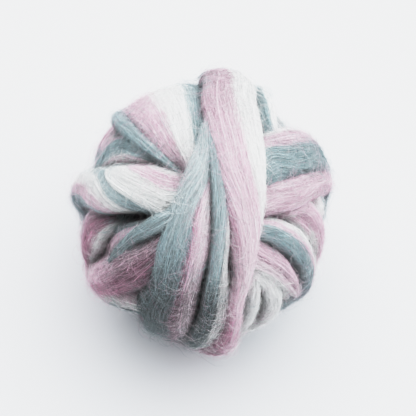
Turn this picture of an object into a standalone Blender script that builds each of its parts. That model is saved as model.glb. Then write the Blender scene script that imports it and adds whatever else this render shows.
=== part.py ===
"""Wound ball of wool roving: one solid with the form of its wraps.

The ball is described from its best side. A wrap is a band of roving laid round the ball, and the
wraps are laid one after another, as a hand winds them. Each stop of a wrap gives where its middle
is seen from the best side (x to the right, y up, in mm from the ball's centre), how wide it is
there and how far its crown stands from the centre. A wrap is a full turn: outside its stops it
runs round the back, and beyond its tuck lengths it dips under what is already there.
"""
from collections import namedtuple

import bmesh
import bpy
import numpy as np

# placement
MM = 0.001
CENTRE = (-0.9, 3.7, 61.5)        # ball centre above its resting face, mm
FACE_TILT = 60.0                  # the best side looks this many degrees above level
EYE = 480.0                       # distance from which the best side was drawn, mm

# winding
CORE = 46.0                       # radius of the first tight winding
UNDER_COUNT = 8                   # wraps under those that show
UNDER_WIDTH = 34.0
UNDER_LIFT = 50.0
UNDER_RISE = 0.3                  # each under wrap stands this much higher than the last
UNDER_THICK = 8.0
BACK_COUNT = 11                   # wraps that pad the sides and the back
BACK_WIDTH = 27.0
BACK_LIFT = 58.5
BACK_RISE = 0.25
BACK_SPREAD = 76.0                # degrees each side of its rearmost point that one shows
BACK_TUCK = 14.0
FULL = 999.0                      # tuck length of a wrap that stays on top all round
LAY = 2.0                         # thickness a wrap adds where it is pulled over another
TUCK_DEPTH = 14.0                 # how far a tucked end dips
TUCK_RUN = 8.0                    # length over which it dips
EDGE_POWER = 2.6                  # roundness of a wrap's section
BLEND = 0.5                       # softness where a wrap leaves what it lies on

# meshing
ROUND_STEPS = 540                 # cells of the height map round the ball
RISE_STEPS = 271                  # cells from pole to pole
RUN_STEPS = 240                   # samples along a wrap
ACROSS_STEPS = 9                  # samples across a wrap
SPHERE_LEVEL = 8
SETTLE_PASSES = 2                 # smoothing of the finished height map
KEEP_RATIO = 0.032                # share of the fine triangles kept
FLAT_SNAP = 0.4                   # points this near the floor join the flat spot, mm

Wrap = namedtuple("Wrap", "name thick before after far_width far_lift stops")
Pit = namedtuple("Pit", "x y radius depth")

# hollows left in the winding where the left pocket looks in
PITS = (
    Pit(-33.5, -3.5, 8.0, 14.0),
    Pit(-47.5, -20.5, 5.0, 8.0),
    Pit(-52.0, 31.0, 12.0, 3.5),
    Pit(46.0, -7.0, 4.0, 4.0),
    Pit(31.5, -42.0, 4.0, 4.0),
    Pit(45.0, 46.0, 9.0, 3.5),
    Pit(-3.0, 63.0, 10.0, 4.0),
)

# stops: (x, y, width, lift)
WRAPS = (
    Wrap("left_shoulder", 7.0, 120.0, 6.0, 20.0, 57.0, (
        (-50.5, 22.0, 21.0, 56.0), (-43.5, 30.5, 21.0, 57.0), (-35.0, 32.0, 19.0, 57.5),
        (-26.0, 27.5, 13.0, 57.0), (-17.0, 20.5, 8.0, 56.0))),
    Wrap("pocket_grey", 5.0, 4.0, 4.0, 8.0, 50.0, (
        (-22.0, -6.5, 6.0, 54.0), (-31.0, -9.0, 7.0, 53.0), (-40.0, -10.0, 6.0, 51.5))),
    Wrap("pocket_pink", 5.0, 4.0, 2.0, 8.0, 50.0, (
        (-30.0, -13.0, 10.0, 56.0), (-38.5, -17.0, 12.0, 56.0), (-43.0, -24.0, 12.0, 55.0))),
    Wrap("pocket_rim", 6.0, 0.0, 6.0, 8.0, 56.0, (
        (-46.0, -4.0, 12.0, 57.0), (-52.5, -6.5, 18.0, 60.5), (-56.0, -13.0, 17.5, 62.0),
        (-57.3, -20.5, 13.5, 62.0), (-55.5, -27.0, 10.0, 61.5))),
    Wrap("right_inner", 5.0, 5.0, 5.0, 8.0, 54.0, (
        (45.0, -3.0, 10.0, 60.0), (52.0, -8.0, 10.0, 61.5), (56.5, -17.0, 10.0, 62.5))),
    Wrap("right_arch", 6.0, 6.0, 60.0, 10.0, 56.0, (
        (42.5, -0.5, 6.0, 61.0), (52.5, 1.5, 10.0, 63.5), (58.5, -6.5, 11.5, 65.0),
        (59.7, -15.5, 11.0, 65.5), (58.3, -23.0, 9.0, 65.0))),
    Wrap("right_edge", 5.0, 12.0, 0.0, 10.0, 56.0, (
        (57.0, 9.0, 10.0, 63.5), (60.0, 3.0, 10.0, 65.0), (61.0, -2.5, 8.0, 65.0))),
    Wrap("low_white_inner", 6.0, 8.0, 80.0, 14.0, 58.0, (
        (25.5, -31.0, 8.0, 64.0), (25.7, -45.0, 9.5, 65.0), (22.5, -56.0, 10.5, 64.5))),
    Wrap("low_white_outer", 7.0, 5.0, 80.0, 14.0, 58.0, (
        (30.0, -31.0, 9.0, 64.0), (36.5, -41.0, 10.5, 65.5), (36.5, -49.0, 11.0, 65.8),
        (31.5, -56.0, 11.5, 64.8))),
    Wrap("low_white_end", 4.0, 4.0, 30.0, 8.0, 58.0, (
        (40.5, -39.0, 4.0, 62.0), (43.5, -43.0, 4.5, 63.0), (42.0, -50.0, 5.0, 63.0))),
    Wrap("notch", 5.0, 5.0, 2.0, 8.0, 55.0, (
        (33.0, 35.0, 7.0, 57.0), (36.5, 38.0, 6.5, 57.5), (40.0, 39.5, 6.0, 56.0))),
    Wrap("behind_front", 6.0, 120.0, 6.0, 16.0, 60.0, (
        (31.5, 61.0, 11.0, 67.0), (34.0, 51.0, 11.5, 65.5), (35.0, 42.0, 10.0, 63.0))),
    Wrap("fan_strand", 5.0, 150.0, 5.0, 12.0, 60.0, (
        (-41.5, 46.5, 9.0, 62.5), (-30.0, 35.0, 6.5, 62.0),
        (-20.0, 26.5, 5.0, 61.5), (-10.5, 18.5, 3.0, 60.0))),
    Wrap("fan", 9.0, 150.0, 6.0, 30.0, 60.0, (
        (-18.2, 59.2, 53.0, 62.5), (-11.0, 44.7, 37.5, 64.0),
        (-6.0, 29.0, 23.5, 63.5), (-3.5, 19.8, 12.0, 62.0))),
    Wrap("left_lobe", 10.0, 130.0, 8.0, 22.0, 60.0, (
        (-59.5, 11.3, 19.0, 64.0), (-50.0, 10.0, 23.0, 65.0), (-40.0, 11.0, 23.0, 65.5),
        (-25.0, 10.5, 23.0, 64.5), (-15.0, 7.5, 24.0, 63.0))),
    Wrap("right_pink", 9.0, 8.0, 130.0, 20.0, 60.0, (
        (32.0, 5.0, 17.0, 64.5), (45.0, 8.0, 17.0, 66.0),
        (56.0, 12.5, 15.0, 66.5), (64.0, 15.0, 14.0, 66.2))),
    Wrap("right_grey", 9.0, 8.0, 150.0, 26.0, 61.0, (
        (33.0, 22.8, 25.0, 65.0), (41.5, 27.4, 28.5, 66.0), (50.0, 30.0, 29.0, 66.8),
        (58.5, 29.0, 28.5, 66.5), (64.0, 26.5, 28.0, 66.2))),
    Wrap("right_curl", 8.0, 8.0, 4.0, 8.0, 56.0, (
        (31.0, -9.5, 12.0, 64.5), (41.5, -13.0, 14.0, 66.0), (49.5, -19.0, 14.0, 66.5),
        (54.0, -27.5, 12.0, 67.0), (54.0, -36.5, 11.5, 67.0), (50.5, -42.5, 11.5, 66.0),
        (43.5, -46.5, 10.5, 64.5))),
    Wrap("twisted_pink", 6.0, 6.0, 2.0, 6.0, 56.0, (
        (28.0, -22.5, 14.0, 65.0), (37.5, -28.3, 13.5, 66.3),
        (44.5, -35.8, 10.5, 67.0), (48.3, -41.5, 5.5, 65.5))),
    Wrap("low_left_under", 7.0, 5.0, 60.0, 14.0, 60.0, (
        (-14.0, -51.5, 14.0, 63.5), (-29.0, -48.0, 14.0, 64.7), (-44.5, -44.0, 12.0, 65.2))),
    Wrap("low_left", 10.0, 8.0, 130.0, 24.0, 60.0, (
        (-20.0, -20.0, 15.0, 64.0), (-32.5, -28.5, 22.5, 65.5),
        (-44.0, -35.0, 21.0, 65.5), (-53.5, -37.5, 22.0, 65.0))),
    Wrap("split_strand", 5.0, 5.0, 0.0, 6.0, 56.0, (
        (-14.0, -3.0, 8.0, 65.0), (-22.5, -7.6, 8.5, 64.5), (-32.2, -13.3, 7.0, 63.5),
        (-39.0, -18.9, 5.5, 62.5), (-42.8, -22.8, 4.0, 61.0))),
    Wrap("grey_run", 5.0, 5.0, 120.0, 20.0, 60.0, (
        (4.5, 38.0, 4.5, 65.0), (6.2, 28.0, 5.0, 66.0), (7.7, 18.0, 5.5, 66.5),
        (9.2, 8.0, 6.5, 67.0),
        (10.3, -5.0, 8.0, 67.0), (10.4, -15.0, 8.3, 67.0), (9.2, -25.0, 8.4, 67.0),
        (8.8, -35.0, 10.5, 67.0), (8.3, -45.0, 13.0, 67.0), (6.8, -55.0, 14.0, 67.5),
        (2.5, -65.0, 15.0, 68.0))),
    Wrap("broad_run", 8.0, 2.0, 110.0, 26.0, 61.0, (
        (2.0, 38.0, 4.0, 64.5), (1.5, 30.0, 7.0, 65.5), (-0.5, 20.0, 11.0, 66.5),
        (-2.5, 10.0, 15.0, 67.0), (-4.5, 0.0, 18.5, 67.5), (-6.0, -10.0, 21.5, 67.5),
        (-8.6, -20.0, 24.2, 67.5), (-11.2, -30.0, 24.5, 67.0), (-13.8, -40.0, 25.0, 66.5),
        (-17.5, -50.0, 29.0, 65.8), (-17.5, -60.0, 27.0, 64.8))),
    Wrap("front_run", 8.0, 9.0, 120.0, 26.0, 60.0, (
        (15.4, 68.0, 27.5, 70.3), (15.8, 54.0, 28.0, 70.3), (19.4, 30.0, 26.3, 69.0),
        (21.7, 5.0, 21.0, 69.0), (21.8, -13.0, 15.0, 69.0), (21.0, -30.0, 11.0, 69.0),
        (18.0, -45.0, 8.0, 69.5), (17.0, -57.5, 8.0, 70.5), (12.5, -69.0, 14.0, 72.0))),
)

# colours and finish
WOOL_GREY_PINK = (0.74, 0.66, 0.69, 1.0)
WOOL_ROUGHNESS = 0.9

POLE = np.array((1.0, 0.0, 0.0))


def ease(x):
    """Smooth step from 0 to 1."""
    x = np.clip(x, 0.0, 1.0)
    return x * x * (3.0 - 2.0 * x)


def along(t, knots, values):
    """Values at t degrees round a wrap, through its knots without overshoot."""
    k = np.concatenate([[knots[-1] - 360.0], knots, [knots[0] + 360.0, knots[1] + 360.0]])
    y = np.concatenate([[values[-1]], values, [values[0], values[1]]])
    step = np.diff(k)
    slope = np.diff(y) / step
    bend = np.zeros(len(k))
    same = slope[:-1] * slope[1:] > 0.0
    both = (slope[:-1] + slope[1:])[same]
    bend[1:-1][same] = 2.0 * (slope[:-1] * slope[1:])[same] / both
    t = np.mod(t - k[1], 360.0) + k[1]
    i = np.clip(np.searchsorted(k, t, side="right") - 1, 1, len(k) - 2)
    f = (t - k[i]) / step[i]
    rise = f * f * (3.0 - 2.0 * f)
    start = f * (1.0 - f) ** 2 * step[i] * bend[i]
    end = f * f * (f - 1.0) * step[i] * bend[i + 1]
    return (1.0 - rise) * y[i] + rise * y[i + 1] + start + end


def seen_at(x, y, radius):
    """Unit direction of the point at this radius seen at (x, y) from the best side."""
    q = x * x + y * y + EYE * EYE
    reach = EYE ** 4 - q * (EYE * EYE - radius * radius)
    s = (EYE * EYE - max(reach, 0.0) ** 0.5) / q
    p = np.array((x * s, y * s, EYE * (1.0 - s)))
    return p / np.linalg.norm(p)


def soften(grid, axis, closed):
    """Average a grid with its neighbours along one axis."""
    if closed:
        return 0.25 * np.roll(grid, 1, axis) + 0.5 * grid + 0.25 * np.roll(grid, -1, axis)
    wide = np.concatenate([grid[:, :1], grid, grid[:, -1:]], 1)
    return 0.25 * wide[:, :-2] + 0.5 * wide[:, 1:-1] + 0.25 * wide[:, 2:]


class Path:
    """A wrap as a ring on the ball, with its width, crown and sideways drift round it."""

    def __init__(self, thick, before, after, stops, far):
        self.thick = thick
        self.before = before
        self.after = after
        points = [p / np.linalg.norm(p) for p, _, _ in stops]
        first, middle, last = points[0], points[len(points) // 2], points[-1]
        normal = np.cross(middle - first, last - middle)
        self.normal = normal / np.linalg.norm(normal)
        offset = float(self.normal @ first)
        self.level = float(np.arcsin(offset))
        start = first - offset * self.normal
        self.start = start / np.linalg.norm(start)
        self.side = np.cross(self.normal, self.start)
        turn = [float(np.degrees(np.arctan2(p @ self.side, p @ self.start))) % 360.0
                for p in points[1:]]
        self.last = turn[-1]
        self.knots = np.array([0.0] + turn + [0.5 * (self.last + 360.0)])
        self.widths = np.array([w for _, w, _ in stops] + [far[0]])
        self.lifts = np.array([h for _, _, h in stops] + [far[1]])
        drift = [float(np.arcsin(p @ self.normal)) - self.level for p in points]
        self.drifts = np.array(drift + [0.0])

    def middle(self, t):
        return self.level + along(t, self.knots, self.drifts)

    def half_angle(self, t):
        lift = along(t, self.knots, self.lifts)
        return 0.5 * along(t, self.knots, self.widths) / (lift - 0.4 * self.thick)

    def crown(self, t):
        return along(t, self.knots, self.lifts)

    def tuck(self, t):
        """Depth the wrap has dipped by, past its tuck lengths."""
        reach = np.radians(1.0) * 64.0 * np.cos(self.level)
        t = np.mod(t, 360.0)
        past = np.where(t <= self.last, 0.0, (t - self.last) * reach)
        ahead = np.where(t <= self.last, 0.0, (360.0 - t) * reach)
        after = 1.0 - ease((past - self.after) / TUCK_RUN)
        before = 1.0 - ease((ahead - self.before) / TUCK_RUN)
        return TUCK_DEPTH * (1.0 - np.maximum(after, before))

    def directions(self, t, angle):
        t = np.radians(t)[:, None, None]
        ring = np.cos(t) * self.start + np.sin(t) * self.side
        angle = angle[..., None]
        return np.sin(angle) * self.normal + np.cos(angle) * ring


class Heights:
    """Distance of the ball's surface from its centre, as a map of directions."""

    def __init__(self, radius):
        lon = np.linspace(-np.pi, np.pi, ROUND_STEPS, endpoint=False)
        lat = np.linspace(-0.5 * np.pi, 0.5 * np.pi, RISE_STEPS)
        lon, lat = np.meshgrid(lon, lat)
        parts = (np.sin(lat), np.cos(lat) * np.sin(lon), np.cos(lat) * np.cos(lon))
        self.dirs = np.stack(parts, -1)
        self.grid = np.full(lon.shape, radius)

    def at(self, d):
        lat = np.arcsin(np.clip(d @ POLE, -1.0, 1.0))
        lon = np.arctan2(d[..., 1], d[..., 2])
        a = (lat / np.pi + 0.5) * (RISE_STEPS - 1)
        b = (lon / (2.0 * np.pi) + 0.5) * ROUND_STEPS
        i = np.clip(np.floor(a).astype(int), 0, RISE_STEPS - 2)
        fa = a - i
        j = np.floor(b).astype(int)
        fb = b - j
        j = j % ROUND_STEPS
        k = (j + 1) % ROUND_STEPS
        low = self.grid[i, j] * (1.0 - fb) + self.grid[i, k] * fb
        high = self.grid[i + 1, j] * (1.0 - fb) + self.grid[i + 1, k] * fb
        return low * (1.0 - fa) + high * fa

    def dig(self, pit):
        """Leave a soft hollow."""
        where = seen_at(pit.x, pit.y, UNDER_LIFT + 4.0)
        away = np.arccos(np.clip(self.dirs @ where, -1.0, 1.0)) * (UNDER_LIFT + 4.0)
        self.grid -= pit.depth * np.exp(-(away / pit.radius) ** 2)

    def settle(self):
        """Take the harshest steps out of the map."""
        grid = soften(self.grid, 1, True)
        grid[1:-1] = 0.25 * grid[:-2] + 0.5 * grid[1:-1] + 0.25 * grid[2:]
        self.grid = grid

    def bed(self, path):
        """What a wrap lies on: half pulled straight over the humps, half sagging on them."""
        t = np.arange(RUN_STEPS) * 360.0 / RUN_STEPS
        across = np.linspace(-1.0, 1.0, ACROSS_STEPS)
        angle = path.middle(t)[:, None] + path.half_angle(t)[:, None] * across
        below = self.at(path.directions(t, angle))
        taut = below
        for _ in range(50):
            taut = np.maximum(below, soften(taut, 0, True))
        sag = below
        for _ in range(6):
            sag = soften(soften(sag, 0, True), 1, False)
        bed = 0.5 * (taut + sag)
        for _ in range(3):
            bed = soften(soften(bed, 0, True), 1, False)
        return bed

    def lay(self, path):
        """Lay one wrap on the ball."""
        bed = self.bed(path)
        t = np.degrees(np.arctan2(self.dirs @ path.side, self.dirs @ path.start)) % 360.0
        angle = np.arcsin(np.clip(self.dirs @ path.normal, -1.0, 1.0))
        q = (angle - path.middle(t)) / path.half_angle(t)
        inside = np.abs(q) < 1.0
        q, t = q[inside], t[inside]
        run = t / 360.0 * RUN_STEPS
        i = np.floor(run).astype(int) % RUN_STEPS
        fi = run - np.floor(run)
        i2 = (i + 1) % RUN_STEPS
        cross = 0.5 * (q + 1.0) * (ACROSS_STEPS - 1)
        j = np.clip(np.floor(cross).astype(int), 0, ACROSS_STEPS - 2)
        fj = cross - j
        low = bed[i, j] * (1.0 - fj) + bed[i, j + 1] * fj
        high = bed[i2, j] * (1.0 - fj) + bed[i2, j + 1] * fj
        section = np.sqrt(1.0 - np.abs(q) ** EDGE_POWER)
        own = path.crown(t) - path.thick * (1.0 - section)
        over = low * (1.0 - fi) + high * fi + LAY * section - 0.3
        top = np.maximum(own, over) + BLEND * np.exp(-np.abs(own - over)) - path.tuck(t)
        self.grid[inside] = np.maximum(self.grid[inside], top)


def spread_axes(count, turn):
    """Ring axes spread evenly over half the directions."""
    golden = np.pi * (3.0 - 5.0 ** 0.5)
    for i in range(count):
        z = (i + 0.5) / count
        r = (1.0 - z * z) ** 0.5
        a = i * golden + turn
        yield np.array((r * np.cos(a), r * np.sin(a), z))


def ring_path(axis, spread, width, lift, tuck):
    """A great ring about an axis, its stops spread about its rearmost point."""
    rear = np.array((0.0, 0.0, -1.0))
    u = rear - (rear @ axis) * axis
    u /= np.linalg.norm(u)
    v = np.cross(axis, u)
    angle = np.radians(spread)
    side = np.sin(angle) * v
    ring = (np.cos(angle) * u - side, u, np.cos(angle) * u + side)
    stops = [(p, width, lift) for p in ring]
    return Path(UNDER_THICK, tuck, tuck, stops, (width, lift))


def hidden_paths():
    """Wraps of the hidden winding, then those that pad the sides and the back."""
    for i, axis in enumerate(spread_axes(UNDER_COUNT, 0.0)):
        yield ring_path(axis, 120.0, UNDER_WIDTH, UNDER_LIFT + UNDER_RISE * i, FULL)
    for i, axis in enumerate(spread_axes(BACK_COUNT, 0.7)):
        lift = BACK_LIFT + BACK_RISE * i
        yield ring_path(axis, BACK_SPREAD, BACK_WIDTH, lift, BACK_TUCK)


def wrap_path(wrap):
    """Path of a row of the table. Its edges, lower than its crown, are what was seen."""
    stops = []
    for x, y, width, lift in wrap.stops:
        facing = seen_at(x, y, lift)[2]
        edge = lift - 0.8 * wrap.thick * facing * facing
        stops.append((seen_at(x, y, edge), width, lift))
    return Path(wrap.thick, wrap.before, wrap.after, stops, (wrap.far_width, wrap.far_lift))


def wind():
    """Wind the whole ball."""
    heights = Heights(CORE)
    for path in hidden_paths():
        heights.lay(path)
    for pit in PITS:
        heights.dig(pit)
    for wrap in WRAPS:
        heights.lay(wrap_path(wrap))
    for _ in range(SETTLE_PASSES):
        heights.settle()
    return heights


def face_axes():
    """The best side's right, up and outward directions in the row's axes."""
    tilt = np.radians(FACE_TILT)
    right = np.array((1.0, 0.0, 0.0))
    up = np.array((0.0, np.sin(tilt), np.cos(tilt)))
    out = np.array((0.0, -np.cos(tilt), np.sin(tilt)))
    return np.stack((right, up, out))


def wool():
    material = bpy.data.materials.new("wool")
    material.use_nodes = True
    shader = material.node_tree.nodes["Principled BSDF"]
    shader.inputs["Base Color"].default_value = WOOL_GREY_PINK
    shader.inputs["Roughness"].default_value = WOOL_ROUGHNESS
    return material


def build_ball():
    """One closed skin over the wraps, flat where the ball rests."""
    bm = bmesh.new()
    bmesh.ops.create_icosphere(bm, subdivisions=SPHERE_LEVEL, radius=1.0)
    dirs = np.array([v.co for v in bm.verts])
    dirs /= np.linalg.norm(dirs, axis=1, keepdims=True)
    axes = face_axes()
    points = dirs * wind().at(dirs @ axes.T)[:, None] + np.array(CENTRE)
    points[:, 2] = np.maximum(points[:, 2], 0.0)
    for vert, point in zip(bm.verts, points * MM):
        vert.co = point
    mesh = bpy.data.meshes.new("roving_ball")
    bm.to_mesh(mesh)
    bm.free()
    mesh.materials.append(wool())
    ball = bpy.data.objects.new("roving_ball", mesh)
    bpy.context.scene.collection.objects.link(ball)
    thin = ball.modifiers.new("thin", "DECIMATE")
    thin.ratio = KEEP_RATIO
    seen = ball.evaluated_get(bpy.context.evaluated_depsgraph_get())
    ball.data = bpy.data.meshes.new_from_object(seen)
    ball.modifiers.clear()
    for vert in ball.data.vertices:
        if vert.co.z < FLAT_SNAP * MM:
            vert.co.z = 0.0
    low, high = points.min(0), points.max(0)
    print("size mm", np.round(high - low, 2), "middle", np.round(0.5 * (low + high), 2))


for item in list(bpy.data.objects):
    bpy.data.objects.remove(item)
build_ball()
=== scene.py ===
"""Wound ball of striped wool roving on a pale floor.

The wraps are laid in the same order and from the same sizes as in the part's source, on a finer
map. Each wrap becomes a closed band with rolled edges and lengthwise strands, coloured by the
stripes of the roving with painted shade in the folds and painted light and shade along the wrap,
and the bands are covered with separate fibres: lying ones that follow the roving, short crossing
ones, and loose ones that stand off the surface.
"""
from collections import namedtuple

import bpy
import numpy as np
from mathutils import Matrix, Vector


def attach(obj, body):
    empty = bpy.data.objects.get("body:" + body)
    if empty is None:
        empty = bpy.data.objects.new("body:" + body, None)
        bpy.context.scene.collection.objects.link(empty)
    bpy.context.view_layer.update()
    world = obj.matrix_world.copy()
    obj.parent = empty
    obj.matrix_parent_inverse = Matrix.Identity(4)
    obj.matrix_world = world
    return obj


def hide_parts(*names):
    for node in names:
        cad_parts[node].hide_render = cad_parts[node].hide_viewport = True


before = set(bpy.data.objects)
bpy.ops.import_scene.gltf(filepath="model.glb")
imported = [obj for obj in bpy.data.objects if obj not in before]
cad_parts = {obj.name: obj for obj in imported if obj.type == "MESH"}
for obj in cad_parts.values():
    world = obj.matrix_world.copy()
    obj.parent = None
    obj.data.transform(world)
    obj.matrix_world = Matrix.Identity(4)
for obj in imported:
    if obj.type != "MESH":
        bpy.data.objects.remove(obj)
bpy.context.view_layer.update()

MM = 0.001

# ---------------------------------------------------------------- placement
CENTRE = np.array((-0.9, 3.7, 61.5))   # ball centre above the floor, mm
FACE_TILT = 60.0                       # the best side looks this many degrees above level
EYE = 480.0                            # camera distance from the ball's centre, mm
FLOOR_GAP = 0.15                       # nothing of the ball comes closer to the floor, mm
BALL_RADIUS = 64.0                     # typical, to turn mm on the surface into angles

# ------------------------------------------------------------------ winding
# lengths are in mm, and a lift is the height of a wrap's crown above the ball's centre
CORE = 46.0                            # radius of the round core
UNDER_COUNT = 8                        # core wraps, all the way round
UNDER_WIDTH = 34.0
UNDER_LIFT = 50.0
UNDER_RISE = 0.3                       # each wrap lies this much higher than the last
UNDER_SPREAD = 120.0                   # degrees between a hidden wrap's stops
HIDDEN_THICK = 8.0
BACK_COUNT = 11                        # wraps of the back and sides
BACK_WIDTH = 27.0
BACK_LIFT = 58.5
BACK_RISE = 0.25
BACK_SPREAD = 76.0
BACK_TUCK = 14.0
FULL = 999.0                           # a run before and after the stops that closes the ring
LAY = 2.0                              # least height of a wrap over what it lies on
TUCK_DEPTH = 14.0                      # how deep a wrap's end dives, and how fast
TUCK_RUN = 8.0
EDGE_POWER = 2.6                       # roundness of a wrap's section
BLEND = 0.5                            # softness where a wrap's own height meets its bed

ROUND_STEPS = 1080                     # the height map's cells round and up the ball
RISE_STEPS = 541
RUN_STEPS = 240                        # a bed's cells along and across its wrap
ACROSS_STEPS = 9

Wrap = namedtuple("Wrap", "name thick before after far_width far_lift stops")
Pit = namedtuple("Pit", "x y radius depth")
# a look's last field is the painted light and shade along its wrap
Look = namedtuple("Look", "stripes start lean grooves tone", defaults=((),))

PITS = (
    Pit(-33.5, -3.5, 8.0, 14.0),
    Pit(-47.5, -20.5, 5.0, 8.0),
    Pit(-52.0, 31.0, 12.0, 3.5),
    Pit(46.0, -7.0, 4.0, 4.0),
    Pit(31.5, -42.0, 4.0, 4.0),
    Pit(45.0, 46.0, 9.0, 3.5),
    Pit(-3.0, 63.0, 10.0, 4.0),
)

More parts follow.
